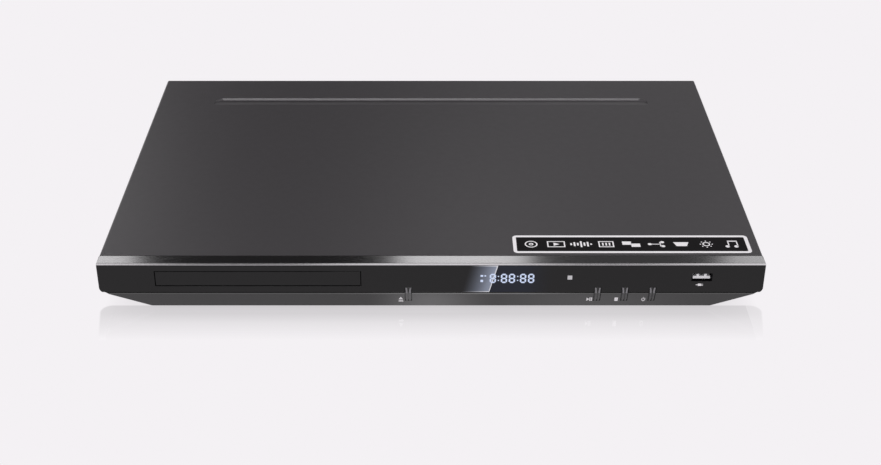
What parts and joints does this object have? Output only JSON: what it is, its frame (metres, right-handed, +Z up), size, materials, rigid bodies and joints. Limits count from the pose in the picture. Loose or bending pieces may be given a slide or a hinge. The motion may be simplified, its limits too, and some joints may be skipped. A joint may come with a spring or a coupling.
{
  "type": "blu-ray player",
  "caption": "Low full-width disc player with a steel cover, glossy front, sliding disc tray, sprung keys, loading gears, swinging traverse with pickup, boards and rear sockets.",
  "frame": {"origin": "centre of the bounding box in plan, on the floor plane under the feet", "axes": "+X to the right seen from the front, +Y to the rear, +Z up; the front faces -Y"},
  "size_m": [0.43, 0.297, 0.0387],
  "materials": {
    "cover_paint": "satin black",
    "case_steel": "satin black",
    "front_plastic": "gloss black",
    "trim": "bright",
    "face_acrylic": "gloss black",
    "lens_acrylic": "smoked gloss",
    "label_print": "printed film",
    "foot_rubber": "matt",
    "key_plastic": "gloss grey",
    "bare_steel": "plated",
    "brass": "plated",
    "alu": "anodised",
    "white_plastic": "matt white",
    "tray_plastic": "matt black",
    "board": "green board",
    "chip": "matt black",
    "pickup_glass": "coated",
    "jack_orange": "orange",
    "jack_white": "white",
    "jack_red": "red"
  },
  "bodies": {
    "chassis": {"top_cover": "cover_paint", "base_pan": "case_steel", "rear_panel": "case_steel", "front_panel": "front_plastic", "trim_strip": "trim", "fascia": "face_acrylic", "display_lens": "lens_acrylic", "top_label": "label_print", "rubber_feet": "foot_rubber", "cover_screws": "bare_steel", "sensor_window": "lens_acrylic", "usb_shell": "bare_steel", "usb_tongue": "white_plastic", "front_board": "board", "key_switches": "chip", "display_module": "chip", "loader_frame": "tray_plastic", "tapping_screws": "bare_steel", "drive_belt": "foot_rubber", "loading_motor": "bare_steel", "clamp_bridge": "bare_steel", "main_board": "board", "power_board": "board", "board_standoffs": "brass", "board_screws": "bare_steel", "heat_sink": "alu", "board_chips": "chip", "capacitors": "chip", "power_transformer": "chip", "hdmi_port": "bare_steel", "lan_port": "bare_steel", "optical_port": "chip", "coax_jack": "jack_orange", "left_audio_jack": "jack_white", "right_audio_jack": "jack_red", "ac_inlet": "chip", "inlet_pins": "bare_steel", "ribbon_sockets": "white_plastic", "front_ribbon": "white_plastic"},
    "tray": {"disc_tray": "tray_plastic", "tray_door": "face_acrylic", "tray_rack": "tray_plastic"},
    "eject": {"eject_key": "key_plastic"},
    "play": {"play_key": "key_plastic"},
    "stop": {"stop_key": "key_plastic"},
    "power": {"power_key": "key_plastic"},
    "drive_gear": {"drive_gear": "white_plastic"},
    "pulley_gear": {"pulley_gear": "white_plastic"},
    "motor_pulley": {"motor_pulley": "white_plastic"},
    "cam": {"cam_slider": "white_plastic"},
    "traverse": {"traverse_plate": "bare_steel", "spindle_motor": "bare_steel", "guide_rods": "bare_steel", "sled_motor": "bare_steel"},
    "spindle": {"turntable": "tray_plastic", "spindle_rotor": "bare_steel"},
    "clamp": {"clamp_puck": "tray_plastic"},
    "lead_screw": {"lead_screw": "bare_steel"},
    "pickup": {"pickup": "chip", "pickup_lens": "pickup_glass"}
  },
  "joints": [
    {"name": "tray_slide", "type": "slide", "parent": "chassis", "child": "tray", "axis": [0, -1, 0], "range_m": [0, 0.136]},
    {"name": "drive_gear_spin", "type": "hinge", "parent": "chassis", "child": "drive_gear", "pos_m": [-0.16065, -0.12, 0.02], "axis": [0, 0, 1], "range_deg": [0, 866.8]},
    {"name": "pulley_gear_spin", "type": "hinge", "parent": "chassis", "child": "pulley_gear", "pos_m": [-0.14685, -0.12, 0.016], "axis": [0, 0, 1], "range_deg": [-2454.11, 0]},
    {"name": "motor_pulley_spin", "type": "hinge", "parent": "chassis", "child": "motor_pulley", "pos_m": [-0.12085, -0.12, 0.013], "axis": [0, 0, 1], "range_deg": [-7196.78, 0]},
    {"name": "cam_slide", "type": "slide", "parent": "chassis", "child": "cam", "axis": [1, 0, 0], "range_m": [0, 0.0181]},
    {"name": "traverse_tilt", "type": "hinge", "parent": "chassis", "child": "traverse", "pos_m": [-0.1117, 0.024, 0.0186], "axis": [1, 0, 0], "range_deg": [0, 3.41]},
    {"name": "spindle_spin", "type": "hinge", "parent": "traverse", "child": "spindle", "pos_m": [-0.1117, -0.07625, 0.029], "axis": [0, 0, 1], "continuous": true},
    {"name": "clamp_spin", "type": "hinge", "parent": "chassis", "child": "clamp", "pos_m": [-0.1117, -0.07625, 0.032], "axis": [0, 0, 1], "continuous": true},
    {"name": "pickup_slide", "type": "slide", "parent": "traverse", "child": "pickup", "axis": [0, 1, 0], "range_m": [0, 0.034]},
    {"name": "lead_screw_spin", "type": "hinge", "parent": "traverse", "child": "lead_screw", "pos_m": [-0.0757, -0.03, 0.0212], "axis": [0, 1, 0], "range_deg": [0, 4081]},
    {"name": "eject_press", "type": "slide", "parent": "chassis", "child": "eject", "axis": [0, 1, 0], "range_m": [0, 0.0008], "stiffness_N_per_m": 1200},
    {"name": "play_press", "type": "slide", "parent": "chassis", "child": "play", "axis": [0, 1, 0], "range_m": [0, 0.0008], "stiffness_N_per_m": 1200},
    {"name": "stop_press", "type": "slide", "parent": "chassis", "child": "stop", "axis": [0, 1, 0], "range_m": [0, 0.0008], "stiffness_N_per_m": 1200},
    {"name": "power_press", "type": "slide", "parent": "chassis", "child": "power", "axis": [0, 1, 0], "range_m": [0, 0.0008], "stiffness_N_per_m": 1200}
  ],
  "couplings": [
    {"joint": "drive_gear_spin", "follows": "tray_slide", "rad_per_m": 111.11},
    {"joint": "pulley_gear_spin", "follows": "tray_slide", "rad_per_m": -314.81},
    {"joint": "motor_pulley_spin", "follows": "tray_slide", "rad_per_m": -923.46},
    {"joint": "cam_slide", "follows": "tray_slide", "ratio": 0.13235},
    {"joint": "traverse_tilt", "follows": "tray_slide", "rad_per_m": 0.43633},
    {"joint": "clamp_spin", "follows": "spindle_spin", "ratio": 1},
    {"joint": "lead_screw_spin", "follows": "pickup_slide", "rad_per_m": 2094.4}
  ]
}
